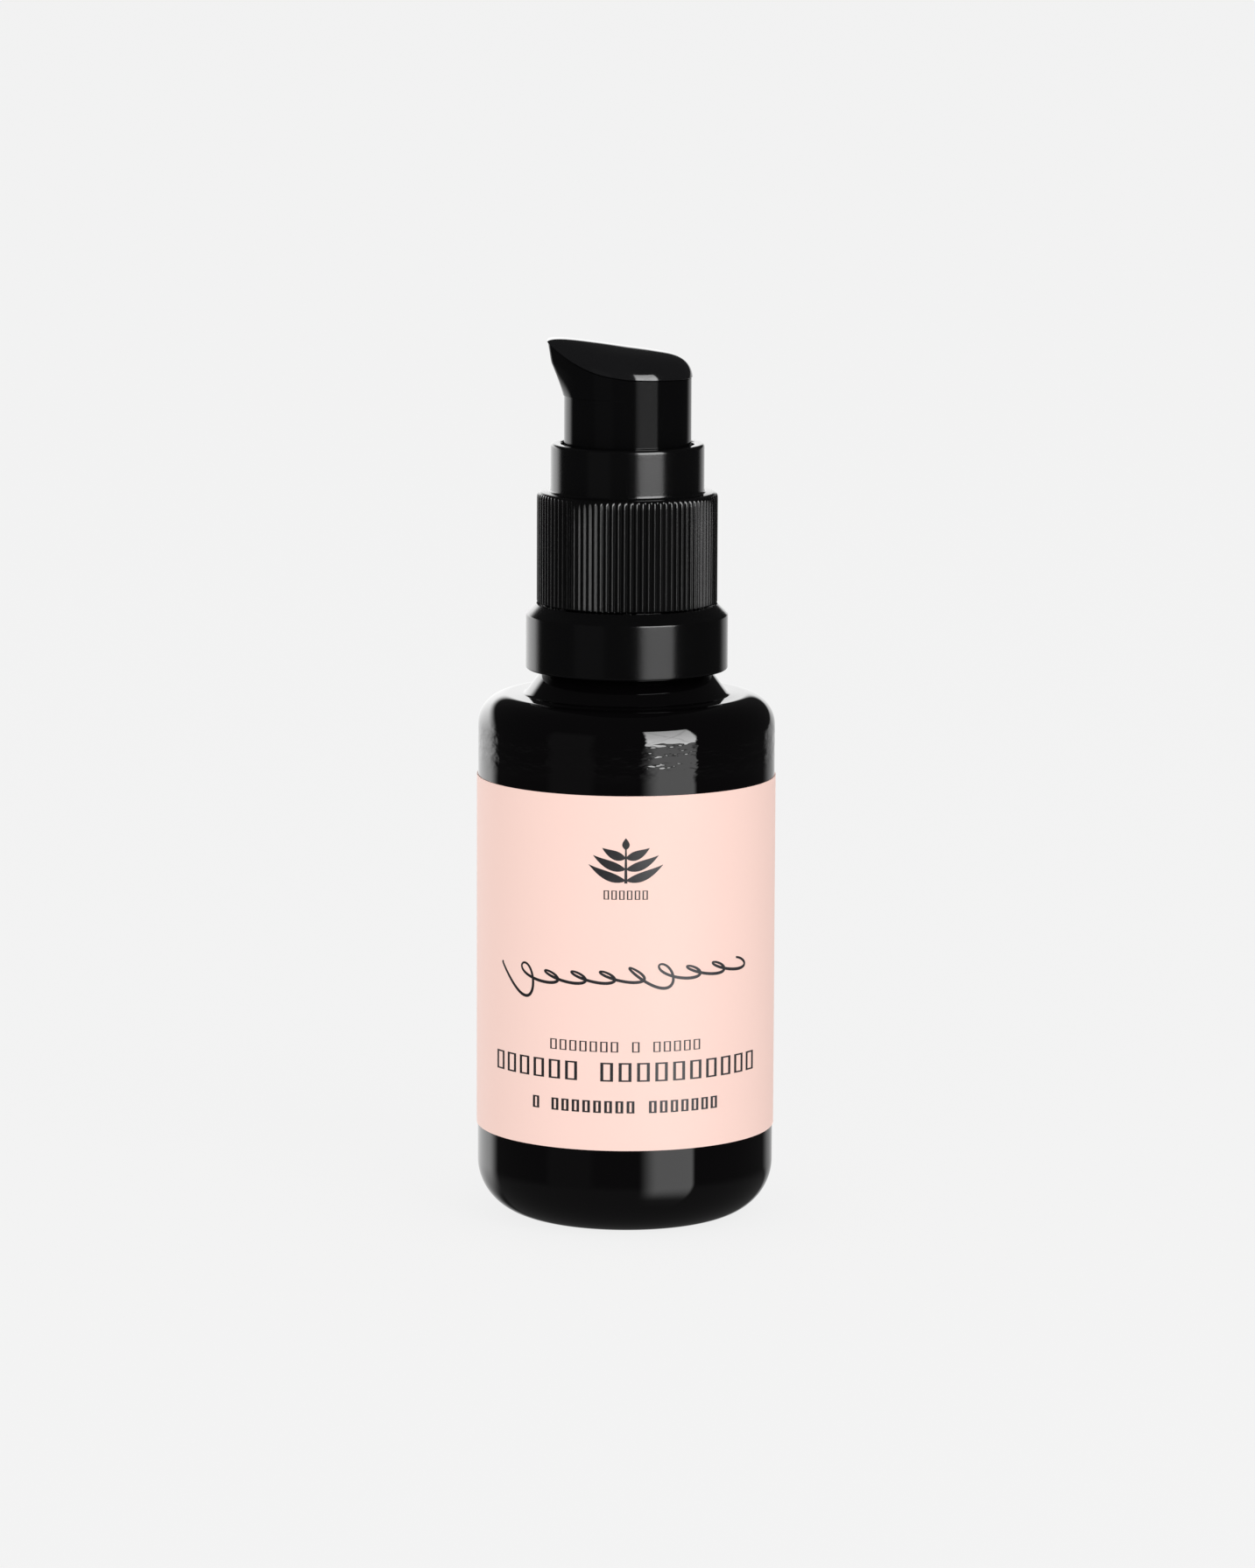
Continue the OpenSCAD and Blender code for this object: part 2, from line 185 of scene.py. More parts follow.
def label_ink():
    """Soft black printing ink, a touch uneven."""
    material, n = finish("label_ink")
    patches = n.noise(2500, 2.0)
    colour = n.mix(patches, rgb(0.010, 0.010, 0.012), rgb(0.020, 0.019, 0.021))
    n.surface(Base_Color=colour, Roughness=0.42 + patches * 0.12)
    return material


def moulded_black(name, tone, roughness, ior, texture, depth):
    """Black polypropylene: a fine eroded texture, faint flow marks and a few light scuffs."""
    material, n = finish(name)
    grain = n.noise(texture, 3.0)
    flow = n.noise(160, 2.0, vector=n.stretched((1, 1, 0.25)))
    scuff = n.ramp(n.noise(1400, 4.0, 0.7), 0.62, 0.78)
    low, high = 0.7 * tone, 1.3 * tone
    colour = n.mix(flow * 0.6 + scuff * 0.4, rgb(low, low, 1.08 * low), rgb(high, high, 1.06 * high))
    n.surface(Base_Color=colour, Roughness=roughness + flow * 0.04 + scuff * 0.03,
              IOR=ior, Normal=n.bump(grain, depth))
    return material


def natural_plastic(name, colour, roughness):
    """Unpigmented polyolefin, milky and a little waxy."""
    material, n = finish(name)
    haze = n.noise(400, 3.0)
    darker = tuple(0.93 * part for part in colour)
    n.surface(Base_Color=n.mix(haze, rgb(*colour), rgb(*darker)), Roughness=roughness + haze * 0.1,
              Subsurface_Weight=0.25, Subsurface_Radius=(0.002, 0.002, 0.002), Subsurface_Scale=1.0,
              Normal=n.bump(n.noise(3000), 0.000006))
    return material


def foam():
    """White closed-cell foam."""
    material, n = finish("gasket_foam")
    cell = n.cells(5500)
    n.surface(Base_Color=n.mix(cell, rgb(0.80, 0.80, 0.76), rgb(0.88, 0.88, 0.85)), Roughness=0.85,
              Normal=n.bump(cell, 0.00004))
    return material


def steel():
    """Bright drawn stainless steel."""
    material, n = finish("steel")
    drawn = n.noise(5000, 2.0, vector=n.stretched((1, 1, 0.15)))
    n.surface(Base_Color=n.mix(drawn, rgb(0.56, 0.57, 0.59), rgb(0.68, 0.69, 0.71)), Metallic=1.0,
              Roughness=0.16 + drawn * 0.12)
    return material


# ---------------------------------------------------------------- shapes

def extent(node):
    """A round CAD node's outer radius and its lowest and highest points, in millimetres."""
    low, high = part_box(node)
    return (high.x - low.x) / 2 / MM, low.z / MM, high.z / MM


def supported(profile, far=2.5, near=0.15):
    """Adds points close to both ends of long straight parts, so their shading stays flat."""
    points = [profile[0]]
    for before, after in zip(profile, profile[1:]):
        length = math.dist(before, after)
        if length > far:
            for share in (near / length, 1 - near / length):
                points.append(tuple(a + (b - a) * share for a, b in zip(before, after)))
        points.append(after)
    return points


def soften(corners, steps=6):
    """Corners (r, z, fillet) into points (r, z), each corner rounded by an arc of its fillet's radius."""
    points = []
    for i, (r, z, fillet) in enumerate(corners):
        here = Vector((r, z))
        if not fillet:
            points.append((r, z))
            continue
        back = (Vector(corners[i - 1][:2]) - here).normalized()
        ahead = (Vector(corners[(i + 1) % len(corners)][:2]) - here).normalized()
        half = back.angle(ahead) / 2
        middle = here + (back + ahead).normalized() * (fillet / math.sin(half))
        first = here + back * (fillet / math.tan(half)) - middle
        last = here + ahead * (fillet / math.tan(half)) - middle
        start = math.atan2(first.y, first.x)
        sweep = math.remainder(math.atan2(last.y, last.x) - start, math.tau)
        count = max(steps, math.ceil(steps * fillet))
        for k in range(count + 1):
            angle = start + sweep * k / count
            points.append((middle.x + fillet * math.cos(angle), middle.y + fillet * math.sin(angle)))
    return supported(points)


def turned(profile, sides=SIDES, ripple=None):
    """Rings of points, in millimetres, for a profile turned about Z. ripple(r, z, turn) moves r."""
    rings = []
    for r, z in profile:
        if r < 1e-6:
            rings.append([Vector((0, 0, z))])
            continue
        ring = []
        for i in range(sides):
            turn = math.tau * i / sides
            reach = r + (ripple(r, z, turn) if ripple else 0)
            ring.append(Vector((reach * math.cos(turn), reach * math.sin(turn), z)))
        rings.append(ring)
    return rings


def skin(rings, closed=False):
    """(points, faces) of the surface through rings. closed joins the last ring to the first."""
    points = [point for ring in rings for point in ring]
    starts = [0]
    for ring in rings:
        starts.append(starts[-1] + len(ring))
    faces = []
    count = len(rings) if closed else len(rings) - 1
    for k in range(count):
        m = (k + 1) % len(rings)
        a, b = starts[k], starts[m]
        size_a, size_b = len(rings[k]), len(rings[m])
        for i in range(max(size_a, size_b)):
            j = (i + 1) % max(size_a, size_b)
            corner = [a + i % size_a, a + j % size_a, b + j % size_b, b + i % size_b]
            faces.append(tuple(dict.fromkeys(corner)))
    if not closed:
        if len(rings[0]) > 1:
            faces.append(tuple(range(starts[0], starts[1])))
        if len(rings[-1]) > 1:
            faces.append(tuple(range(starts[-2], starts[-1])))
    return points, faces


def solid(name, material, *skins):
    """One object from one or more skins given in millimetres, smooth where it bends gently."""
    mesh = bmesh.new()
    for points, faces in skins:
        corners = [mesh.verts.new(Vector(p) * MM) for p in points]
        for face in faces:
            mesh.faces.new([corners[i] for i in face])
    bmesh.ops.recalc_face_normals(mesh, faces=mesh.faces)
    data = bpy.data.meshes.new(name)
    mesh.to_mesh(data)
    mesh.free()
    data.shade_smooth()
    data.set_sharp_from_angle(angle=SHARP)
    piece = bpy.data.objects.new(name, data)
    bpy.context.collection.objects.link(piece)
    data.materials.append(material)
    return piece


def cut(piece, tool):
    """Takes tool's volume out of piece for good, and removes tool."""
    modifier = piece.modifiers.new("cut", "BOOLEAN")
    modifier.object = tool
    modifier.solver = "EXACT"
    bpy.context.view_layer.update()
    evaluated = piece.evaluated_get(bpy.context.evaluated_depsgraph_get())
    data = bpy.data.meshes.new_from_object(evaluated)
    piece.modifiers.clear()
    piece.data = data
    data.set_sharp_from_angle(angle=SHARP)
    bpy.data.objects.remove(tool)


def helix_ridge(r_base, r_crest, base_w, crest_w, z_mid, turns, pitch=3.0, steps=64):
    """A right-hand thread ridge that fades in and out at its ends."""
    rings = []
    count = math.ceil(steps * turns)
    for k in range(count + 1):
        angle = math.tau * k / steps
        z = z_mid + pitch * k / steps
        rise = min(1, max(0.12, min(k, count - k) / (steps / 8)))
        crest = r_base + (r_crest - r_base) * rise
        section = [(r_base, -base_w / 2), (crest, -crest_w / 2), (crest, crest_w / 2), (r_base, base_w / 2)]
        rings.append([Vector((r * math.cos(angle), r * math.sin(angle), z + up)) for r, up in section])
    return skin(rings)


def attach(piece, node, body):
    """The piece rides on a body and stands for a CAD node, which it hides."""
    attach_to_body(piece, body)
    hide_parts(node)
    return piece


# ---------------------------------------------------------------- bottle and label

SHOULDER_Z = 58.5
NECK_R = 9.3
MOUTH_R = 5.5
BEAD_R = 9.75
THREAD_ROOT_R = 7.9
THREAD_R = 8.9
THREAD_MID_Z = 71.2


def glass_bottle(material):
    body_r, _, lip_z = extent("glass_bottle")
    inner_r = body_r - 1.9
    ceiling_z = SHOULDER_Z - 2.3
    cone_w, cone_h = 2.0, 2.7
    foot_r, foot_h = 9.0, 0.8
    foot_ball = (foot_r ** 2 + foot_h ** 2) / (2 * foot_h)
    hollow = [(r, foot_h - foot_ball + math.sqrt(foot_ball ** 2 - r ** 2), 0) for r in range(9)]
    corners = hollow + [
        (foot_r, 0, 0.3), (body_r, 0, 6), (body_r, SHOULDER_Z, 3.4),
        (NECK_R + cone_w, SHOULDER_Z, 0.5), (NECK_R, SHOULDER_Z + cone_h, 0.3), (NECK_R, 62.9, 0.12),
        (BEAD_R, 63.3, 0.2), (BEAD_R, 64.2, 0.25), (THREAD_ROOT_R, 65.4, 0.4),
        (THREAD_ROOT_R, lip_z, 0.6), (MOUTH_R, lip_z, 0.5), (MOUTH_R, ceiling_z, 3),
        (inner_r, ceiling_z, 2.6), (inner_r, 3.2, 4.1), (0, 3.4, 0)]
    rings = turned(soften(corners, 8), sides=360)
    knurls, knurl_h, knurl_in, knurl_out = 60, 0.14, 9.3, 11.6
    for ring in rings:
        r = math.hypot(ring[0].x, ring[0].y)
        if knurl_in < r < knurl_out and ring[0].z < 1:
            fade = math.sin(math.pi * (r - knurl_in) / (knurl_out - knurl_in))
            for i, point in enumerate(ring):
                wave = 0.5 + 0.5 * math.cos(math.tau * knurls * i / len(ring))
                point.z += knurl_h * fade * wave
    thread = helix_ridge(THREAD_ROOT_R - 0.15, THREAD_R, 2.2, 1.0, THREAD_MID_Z, 1.75)
    piece = solid("bottle_glass", material, skin(rings), thread)
    return attach(piece, "glass_bottle", "bottle")


def label_shape():
    """Radius of the label's face, its lower and upper edges, and half the angle of its gap."""
    _, bottom, top = extent("wrap_label")
    radius = -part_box("wrap_label")[0].y / MM
    return radius - 0.02, bottom, top, 0.8 / radius


def wrap_label(material):
    outer, bottom, top, half_gap = label_shape()
    inner = outer - 0.10
    corner = 1.2
    columns = 320
    back = math.pi / 2
    rings = []
    for k in range(columns + 1):
        share = 0.5 - 0.5 * math.cos(math.pi * k / columns)
        share = 0.25 * share + 0.75 * k / columns
        turn = back + half_gap + (math.tau - 2 * half_gap) * share
        from_end = min(turn - back - half_gap, back + math.tau - half_gap - turn) * outer
        inset = max(0, corner - from_end)
        trim = corner - math.sqrt(max(0, corner ** 2 - inset ** 2))
        low, high = bottom + trim, top - trim
        lip = 0.02
        section = [(inner, low), (outer - lip, low), (outer, low + lip), (outer, high - lip),
                   (outer - lip, high), (inner, high)]
        rings.append([Vector((r * math.cos(turn), r * math.sin(turn), z)) for r, z in section])
    piece = solid("label_sheet", material, skin(rings))
    return attach(piece, "wrap_label", "bottle")


# ---------------------------------------------------------------- print on the label

class Print:
    """Marks laid on the label, placed in millimetres across and up from the middle of its front."""

    def __init__(self):
        self.radius, bottom, top, _ = label_shape()
        self.middle = (bottom + top) / 2
        self.skins = []

    def on_label(self, across, up, proud):
        turn = -math.pi / 2 + across / self.radius
        r = self.radius + proud
        return Vector((r * math.cos(turn), r * math.sin(turn), self.middle + up))

    def stroke(self, path, width):
        """A ribbon of ink along path. width is a number, or a function of the share of the way along."""
        rings = []
        for k, (across, up) in enumerate(path):
            before = Vector(path[max(k - 1, 0)])
            after = Vector(path[min(k + 1, len(path) - 1)])
            along = (after - before).normalized()
            share = k / (len(path) - 1)
            half = (width(share) if callable(width) else width) / 2
            side = Vector((-along.y, along.x)) * half
            rings.append([self.on_label(across + s * side.x, up + s * side.y, proud)
                          for s, proud in ((-1, -0.03), (1, -0.03), (1, 0.012), (-1, 0.012))])
        self.skins.append(skin(rings))

    def line(self, start, end, width):
        steps = max(1, math.ceil(math.dist(start, end) / 0.5))
        path = [(start[0] + (end[0] - start[0]) * k / steps, start[1] + (end[1] - start[1]) * k / steps)
                for k in range(steps + 1)]
        self.stroke(path, width)

    def open_box(self, left, low, width, height, weight):
        inset = weight / 2
        right, high = left + width, low + height
        for place in (left + inset, right - inset):
            self.line((place, low), (place, high), weight)
        for level in (low + inset / 2, high - inset / 2):
            self.line((left, level), (right, level), weight / 2)

    def words(self, up, height, counts, pitch, weight):
        """A line of copy shown as plain open boxes, so many to each word, centred on the label."""
        across = -(sum(counts) + len(counts) - 1) * pitch / 2
        for count in counts:
            for k in range(count):
                self.open_box(across + (k + 0.15) * pitch, up - height / 2, 0.7 * pitch, height, weight)
            across += (count + 1) * pitch


def emblem(ink, up):
    """A spreading sprig: one stem with three pairs of leaves and one at its tip."""
    ink.stroke([(0, up - 2.5 + 4.2 * k / 12) for k in range(13)], lambda share: 0.34 - 0.18 * share)
    for k, length in enumerate((4.1, 3.6, 2.6)):
        foot = up - 2.2 + 1.25 * k
        for side in (-1, 1):
            path = []
            for step in range(13):
                t = step / 12
                path.append((side * length * t, foot + 0.10 * length * t + 0.32 * length * t * t))
            ink.stroke(path, lambda share: 0.98 * math.sin(math.pi * share ** 0.8) + 0.02)
    ink.stroke([(0, up + 1.2 + 1.3 * k / 10) for k in range(11)],
               lambda share: 0.8 * math.sin(math.pi * share ** 0.8) + 0.02)


def flourish(ink, up):
    """A pen flourish: a long run of open loops that spells nothing."""
    path = []
    count, loops = 420, 9
    for k in range(count + 1):
        t = k / count
        turn = math.tau * loops * t
        tall = 0.62 + 1.7 * math.exp(-((t - 0.06) / 0.05) ** 2) + 0.9 * math.exp(-((t - 0.62) / 0.06) ** 2)
        across = -14.6 + 29.2 * t - 1.55 * math.sin(turn + 0.7)
        path.append((across, up - 0.5 + 1.3 * t + tall * math.cos(turn)))
    ink.stroke(path, lambda share: 0.22 + 0.12 * abs(math.sin(math.pi * loops * share)))


def label_print(material):
    ink = Print()
    emblem(ink, 12.6)
    ink.words(8.8, 1.0, [6], 0.85, 0.15)
    flourish(ink, -0.4)
    ink.words(-8.1, 1.15, [7, 1, 5], 1.17, 0.18)
    ink.words(-10.9, 2.1, [6, 10], 2.02, 0.34)
    ink.words(-14.8, 1.35, [1, 8, 7], 1.23, 0.30)
    piece = solid("label_print", material, *ink.skins)
    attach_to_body(piece, "bottle")
    return piece


# ---------------------------------------------------------------- ring and closure

def tamper_ring(material):
    ring_r, bottom, _ = extent("tamper_ring")
    closure_r, closure_z0, _ = extent("screw_closure")
    cone_z = 67.4
    top = closure_z0 - 0.15
    catch_r = NECK_R + 0.12
    pocket_r = BEAD_R + 0.15
    corners = [
        (catch_r, bottom, 0.1), (ring_r, bottom, 0.22), (ring_r, cone_z, 0.16),
        (closure_r + 0.05, top, 0.12), (catch_r, top, 0.05), (catch_r, 65.1, 0.1), (pocket_r, 65.1, 0.1),
        (pocket_r, bottom + 1.25, 0.1), (catch_r, bottom + 1.25, 0.1)]
    skins = [skin(turned(soften(corners)), closed=True)]
    bridges = 8
    for k in range(bridges):
        turn = Matrix.Rotation(math.tau * k / bridges, 4, "Z")
        rings = []
        for z, half in ((top - 0.1, 0.55), (top + 0.04, 0.40), (closure_z0 - 0.03, 0.28)):
            inner, outer = NECK_R + 0.2, NECK_R + 0.7
            outline = ((inner, -half), (outer, -half), (outer, half), (inner, half))
            rings.append([turn @ Vector((r, side, z)) for r, side in outline])
        skins.append(skin(rings))
    piece = solid("ring_band", material, *skins)
    return attach(piece, "tamper_ring", "ring")


def screw_closure(material):
    closure_r, bottom, rim_z = extent("screw_closure")
    ledge_z = 81.0
    collar_r, hole_r = 8.5, 7.35
    ribs, rib_depth = 92, 0.25

    def ripple(r, z, turn):
        """Rounded ribs with narrow valleys; they run out towards the ledge."""
        if r < closure_r - 0.9 or z > ledge_z:
            return 0
        wave = 0.5 - 0.5 * math.cos(ribs * turn)
        valley = 1 - wave ** 0.7
        run_out = min(1, max(0, (ledge_z - 0.12 - z) / 0.5)) * min(1, max(0, (z - bottom + 0.05) / 0.12))
        return -rib_depth * valley * run_out

    wall = [(closure_r, bottom + 0.5 + (ledge_z - bottom - 1.6) * k / 6, 0) for k in range(7)]
    corners = [
        (9.05, bottom, 0.15), (closure_r, bottom, 0.22), *wall, (closure_r, ledge_z, 0.55),
        (collar_r, ledge_z, 0.25), (collar_r, rim_z, 0.3), (hole_r, rim_z, 0.2), (hole_r, ledge_z, 0.1),
        (5.8, ledge_z, 0.1), (5.8, 80.03, 0.1), (9.05, 80.03, 0.2)]
    rings = turned(soften(corners, 5), sides=ribs * 12, ripple=ripple)
    thread = helix_ridge(9.2, THREAD_ROOT_R + 0.25, 1.9, 0.7, THREAD_MID_Z - 1.5, 1.6)
    piece = solid("closure_shell", material, skin(rings, closed=True), thread)
    return attach(piece, "screw_closure", "closure")


# ---------------------------------------------------------------- actuator

SKIRT_R = 7.05
SEAM_OVER = 0.10
HEAD_Z = 91.7
CROWN_Z = 97.05
LID_SLOPE = 0.136
LID_ARCH = 1.25
RIM_DEPTH = 3.15
TIP_DEPTH = 0.65
RIM_FLAT = 1.5
BEAK_HALF_W = 2.0
FLANK_KNEE = 0.64
DECK_RHO = 0.8
DECK_DEPTH = 0.65


def smooth_min(a, b, soft):
    near = max(soft - abs(a - b), 0) / soft
    return min(a, b) - near * near * soft / 4


class Head:
    """The actuator's slanted, beaked head. Angles are measured from the spout, -X."""

    def __init__(self):
        low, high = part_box("actuator_lid")
        self.reach = -low.x / MM

    def outline(self, angle, over):
        """Distance from the axis to the head's side, seen from above."""
        r = SKIRT_R + over
        reach = self.reach - SEAM_OVER + over
        half_w = BEAK_HALF_W - SEAM_OVER + over
        turn = abs(angle)
        corner = math.atan(half_w / reach)
        tangent = corner + math.acos(r / math.hypot(reach, half_w))
        if turn >= tangent:
            return r
        side = r / math.cos(tangent - turn)
        end = reach / math.cos(turn)
        return smooth_min(side, end, 0.5)

    def plane_z(self, x):
        return CROWN_Z - LID_SLOPE * x

    def arch(self, y):
        return LID_ARCH * (y / SKIRT_R) ** 2

    def rim(self, angle):
        """Depth of the seam below the crown's middle line."""
        x = -self.outline(angle, SEAM_OVER) * math.cos(angle)
        share = max(0, -x - RIM_FLAT) / (self.reach - RIM_FLAT)
        return RIM_DEPTH - (RIM_DEPTH - TIP_DEPTH) * share ** 2.3 - 0.1 * max(0, x)

    def ring(self, reach, height, sides=288):
        """A ring of points with reach(angle) and height(angle, x, y)."""
        points = []
        for i in range(sides):
            angle = math.tau * i / sides - math.pi
            r = reach(angle)
            x, y = -r * math.cos(angle), -r * math.sin(angle)
            points.append(Vector((x, y, height(angle, x, y))))
        return points

    def lid_ring(self, rho, drop, lift=0.0):
        """A ring of the lid: drop 0 lies on its crowned plane and drop 1 at the seam."""
        def height(angle, x, y):
            fall = self.rim(angle) - self.arch(self.outline(angle, SEAM_OVER) * math.sin(angle))
            return self.plane_z(x) - self.arch(y) - drop * fall + lift
        return self.ring(lambda a: rho * self.outline(a, SEAM_OVER), height)

    def deck_ring(self, rho, lift=0.0):
        return self.ring(lambda a: rho * self.outline(a, SEAM_OVER),
                         lambda a, x, y: self.plane_z(x) - self.arch(y) - DECK_DEPTH + lift)

    def flank_ring(self, share, over=0.0):
        """A ring on the spout's flank: share 0 is its lower edge and 1 the seam."""
        if share < FLANK_KNEE:
            growth = 0.8 * (share / FLANK_KNEE) ** 1.15
        else:
            growth = 0.8 + 0.2 * (share - FLANK_KNEE) / (1 - FLANK_KNEE)

        def reach(angle):
            low = SKIRT_R + 0.12 * max(0, math.cos(angle))
            top = max(low, self.outline(angle, 0))
            return low + (top - low) * growth + over

        def height(angle, x, y):
            return HEAD_Z + (self.plane_z(x) - self.rim(angle) - HEAD_Z) * share

        return self.ring(reach, height)


def actuator_body(material, head):
    skirt_in, hub_r, bore_r = 6.15, 3.0, 2.03
    _, skirt_z0, _ = extent("actuator_body")
    hub_z0, stem_top = 88.2, 92.4
    duct_r, duct_z, duct_length = 0.6, 94, 12
    inside = soften([
        (bore_r, stem_top, 0), (bore_r, hub_z0, 0.15), (hub_r, hub_z0, 0.2), (hub_r, HEAD_Z, 0.3),
        (skirt_in, HEAD_Z, 0.4), (skirt_in, skirt_z0, 0.2), (SKIRT_R, skirt_z0, 0.25),
        (SKIRT_R, HEAD_Z - 0.04, 0)])
    rings = [[Vector((0, 0, stem_top))]]
    rings += [head.ring(lambda a, r=r: r, lambda a, x, y, z=z: z) for r, z in inside]
    rings += [head.flank_ring(share) for share in (0, 0.01, *(k / 16 for k in range(1, 16)))]
    rings += [head.flank_ring(0.985), head.flank_ring(1.0, over=-0.06), head.lid_ring(DECK_RHO, 1)]
    rings += [head.deck_ring(rho) for rho in (DECK_RHO - 0.005, 0.55, 0.3)]
    rings.append([Vector((0, 0, head.plane_z(0) - DECK_DEPTH))])
    piece = solid("actuator_shell", material, skin(rings))
    bore = [(0, -1), (duct_r, -1), (duct_r, duct_length), (0, duct_length)]
    duct = solid("duct", material, skin(turned(bore, sides=48)))
    lean = math.atan(2.3 / 8.7) - math.pi / 2
    duct.data.transform(Matrix.Translation(Vector((0, 0, duct_z)) * MM) @ Matrix.Rotation(lean, 4, "Y"))
    cut(piece, duct)
    return attach(piece, "actuator_body", "actuator")


def actuator_lid(material, head):
    gap = 0.05
    rings = [[Vector((0, 0, head.plane_z(0) - DECK_DEPTH))]]
    rings += [head.deck_ring(rho) for rho in (0.3, 0.55, DECK_RHO - 0.005)]
    rings += [head.lid_ring(DECK_RHO, 1, lift=gap), head.lid_ring(0.992, 1.0, lift=gap),
              head.lid_ring(1.0, 0.97, lift=gap)]
    shares = [math.cos(math.pi / 2 * k / 20) ** (1 / 3) for k in range(1, 19)] + [0.32, 0.2, 0.1]
    rings += [head.lid_ring(rho, 1 - math.sqrt(1 - rho ** 6)) for rho in shares]
    rings.append([Vector((0, 0, head.plane_z(0)))])
    piece = solid("lid_plate", material, skin(rings))
    return attach(piece, "actuator_lid", "actuator")


# ---------------------------------------------------------------- inside the pump

def return_spring(material):
    """A coil of drawn wire with a dead turn at each end; the share of its length kept when the pump is
    pressed is worked out but not used.
    """
    outer, bottom, top = extent("return_spring")
    wire_r, turns, steps, dead = 0.25, 8.0, 40, 0.9
    coil_r = outer - wire_r
    stroke = next(j for j in frame["joints"] if j["name"] == "pump_press")["range_m"][1] / MM
    live = top - bottom - 2 * wire_r - 2 * dead * 2 * wire_r
    rings = []
    for k in range(int(turns * steps) + 1):
        t = k / steps
        shut = min(t, dead) + max(0, t - turns + dead)
        z = bottom + wire_r + shut * 2 * wire_r + live * min(1, max(0, (t - dead) / (turns - 2 * dead)))
        turn = math.tau * t
        ring = []
        for i in range(12):
            angle = math.tau * i / 12
            r = coil_r + wire_r * math.cos(angle)
            ring.append(Vector((r * math.cos(turn), r * math.sin(turn), z + wire_r * math.sin(angle))))
        rings.append(ring)
    piece = solid("spring_coil", material, skin(rings))
    attach(piece, "return_spring", "pump_stem")
    length = top - bottom
    (length - stroke) / length
    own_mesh(piece)
    return piece


def dress(node, material):
    """Gives a CAD node its finished material."""
    data = frame["nodes"][node].data
    data.materials.clear()
    data.materials.append(material)


# ---------------------------------------------------------------- studio

PALE = 0.887


def softbox(n, around, above):
    """A square softbox with folds across its cloth, and its glow on the table under it."""
    middle, half_width, height, half_height = 35.5, 20.5, 18.3, 22.6
    across = around.maths("ABSOLUTE", (around - middle) / half_width)
    upward = across.maths("ABSOLUTE", (above - height) / half_height)
    cloth = (1 - n.ramp(across, 0.92, 1.06)) * (1 - n.ramp(upward, 0.94, 1.04))
    fold = n.ramp(across.maths("ABSOLUTE", across - upward), 0.0, 0.14)
    side = n.ramp(around, 10, 26) * (1 - n.ramp(around, 53, 57))
    glow = side * (1 - n.ramp(above, -7.5, -4))
    fading = n.ramp(above, -44, -14) * 1.75 + n.ramp(above, -60, -28) * 0.10
    return cloth * (0.80 + 0.20 * fold) * (11.4 - above * 0.125) + glow * fading


def backdrop(n, around, above):
    """A bright sheet behind the bottle, higher on the left; it fades towards the floor."""
    aside = around + 173 - around.maths("GREATER_THAN", around, 0) * 360
    wide = aside / 50
    high = (above + 8) / (22 + aside * 0.25)
    sheet = 1 - n.ramp(wide * wide + high * high, 0.62, 1.25)
    return sheet * (1.15 + aside * 0.016) * (1 + (above + 8) * 0.045)


def studio_sky():
    """A pale room for the eye and for matt surfaces, and a dark studio with its lights for gloss."""
    world = bpy.data.worlds.new("studio")
    world.use_nodes = True
    bpy.context.scene.world = world
    n = Nodes(world.node_tree)
    x, y, z = n.split(n.add("TexCoord", out="Generated"))
    around = x.maths("DEGREES", x.maths("ARCTAN2", x, 0 - y))
    above = z.maths("DEGREES", z.maths("ARCSINE", z))
    dark = 0.028 + 0.062 * (1 - n.ramp(above, -24, -8))
    weak = 0.05 * n.band(around, -62, -26, 4) * n.band(above, -14, 26, 8)
    seen = dark + weak + softbox(n, around, above) + backdrop(n, around, above)
    path = n.add("LightPath").socket.node
    gloss = Wire(n, path.outputs["Is Glossy Ray"])
    direct = Wire(n, path.outputs["Is Camera Ray"])
    matt_light = 0.80
    light = direct * PALE + gloss * seen + (1 - direct) * (1 - gloss) * matt_light
    back = n.add("Background", None, {"Color": rgb(1, 1, 1), "Strength": light})
    n.add("OutputWorld", None, {"Surface": back})


def floor():
    """A wide pale floor that takes only a soft shadow and stays out of the gloss."""
    material, n = finish("pale_floor")
    lit = n.add("Emission", None, {"Color": rgb(PALE, PALE, PALE), "Strength": 0.945})
    matt = n.add("BsdfDiffuse", None, {"Color": rgb(0.06, 0.06, 0.06)})
    both = n.add("AddShader", None, {0: lit, 1: matt})
    n.add("OutputMaterial", None, {"Surface": both})
    size = 12000
    corners = [Vector((x * size, y * size, 0)) for x, y in ((-1, -1), (1, -1), (1, 1), (-1, 1))]
    plane = solid("floor", material, (corners, [(0, 1, 2, 3)]))
    plane.visible_glossy = False


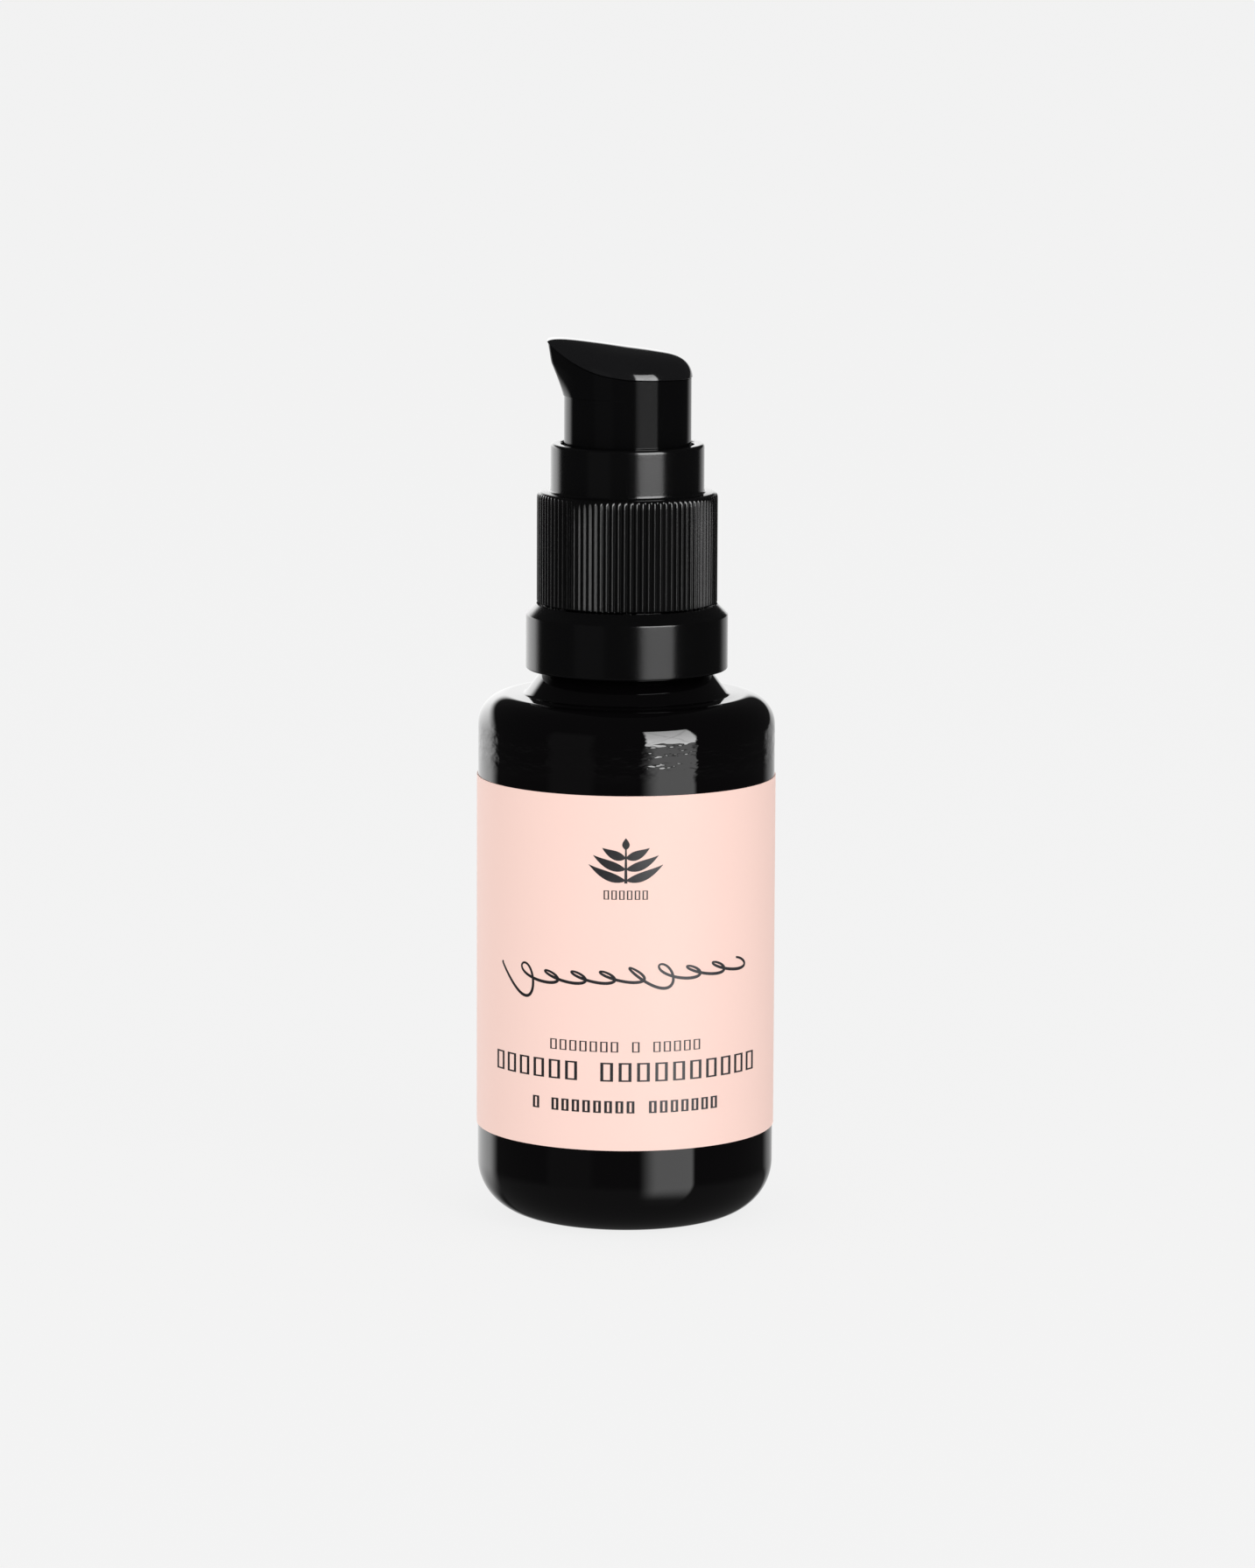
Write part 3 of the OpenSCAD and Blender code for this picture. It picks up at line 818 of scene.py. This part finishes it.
def lamp(name, azimuth, elevation, distance, size, power, in_gloss):
    """A soft square light aimed at the bottle. Azimuth 0 is in front of it and 90 to its right."""
    data = bpy.data.lights.new(name, "AREA")
    data.size = size
    data.energy = power
    light = bpy.data.objects.new(name, data)
    around, above = math.radians(azimuth), math.radians(elevation)
    away = Vector((math.sin(around) * math.cos(above), -math.cos(around) * math.cos(above), math.sin(above)))
    target = Vector((0, 0, 0.05))
    light.location = target + away * distance
    light.rotation_euler = away.to_track_quat("Z", "Y").to_euler()
    light.visible_glossy = in_gloss
    bpy.context.collection.objects.link(light)


def camera():
    """A long lens, a little above the bottle and looking down on it."""
    data = bpy.data.cameras.new("camera")
    data.lens = 154.8
    data.sensor_width = 36
    data.clip_end = 50
    eye = bpy.data.objects.new("camera", data)
    pitch, roll = math.radians(9.02), math.radians(0.23)
    target = Vector((0.00014, 0, 0.04825))
    away = Vector((0, -math.cos(pitch), math.sin(pitch)))
    eye.location = target + away * 0.75
    aim = away.to_track_quat("Z", "Y").to_matrix().to_4x4()
    eye.matrix_world = Matrix.Translation(eye.location) @ aim @ Matrix.Rotation(roll, 4, "Z")
    bpy.context.collection.objects.link(eye)
    bpy.context.scene.camera = eye


def build():
    satin = moulded_black("closure_plastic", 0.0025, 0.12, 1.46, 6000, 0.000004)
    skirt = moulded_black("actuator_plastic", 0.0030, 0.05, 1.27, 6000, 0.000002)
    gloss = moulded_black("lid_plastic", 0.0080, 0.07, 1.49, 1500, 0.000001)
    metal = steel()
    natural = natural_plastic("pump_plastic", (0.83, 0.84, 0.84), 0.38)
    glass_bottle(dark_glass())
    wrap_label(label_film())
    label_print(label_ink())
    tamper_ring(satin)
    screw_closure(satin)
    head = Head()
    actuator_body(skirt, head)
    actuator_lid(gloss, head)
    return_spring(metal)
    dress("neck_gasket", foam())
    dress("inlet_ball", metal)
    dress("dip_tube", natural_plastic("tube_plastic", (0.78, 0.81, 0.83), 0.22))
    dress("piston", natural_plastic("piston_plastic", (0.88, 0.88, 0.85), 0.45))
    for node in ("pump_housing", "housing_cap", "stem", "poppet"):
        dress(node, natural)


camera()
studio_sky()
floor()
lamp("key", 35, 40, 1.2, 0.5, 3.0, False)
lamp("fill", -20, 20, 1.5, 0.8, 4.0, False)
bpy.context.scene.view_settings.view_transform = "Standard"
build()
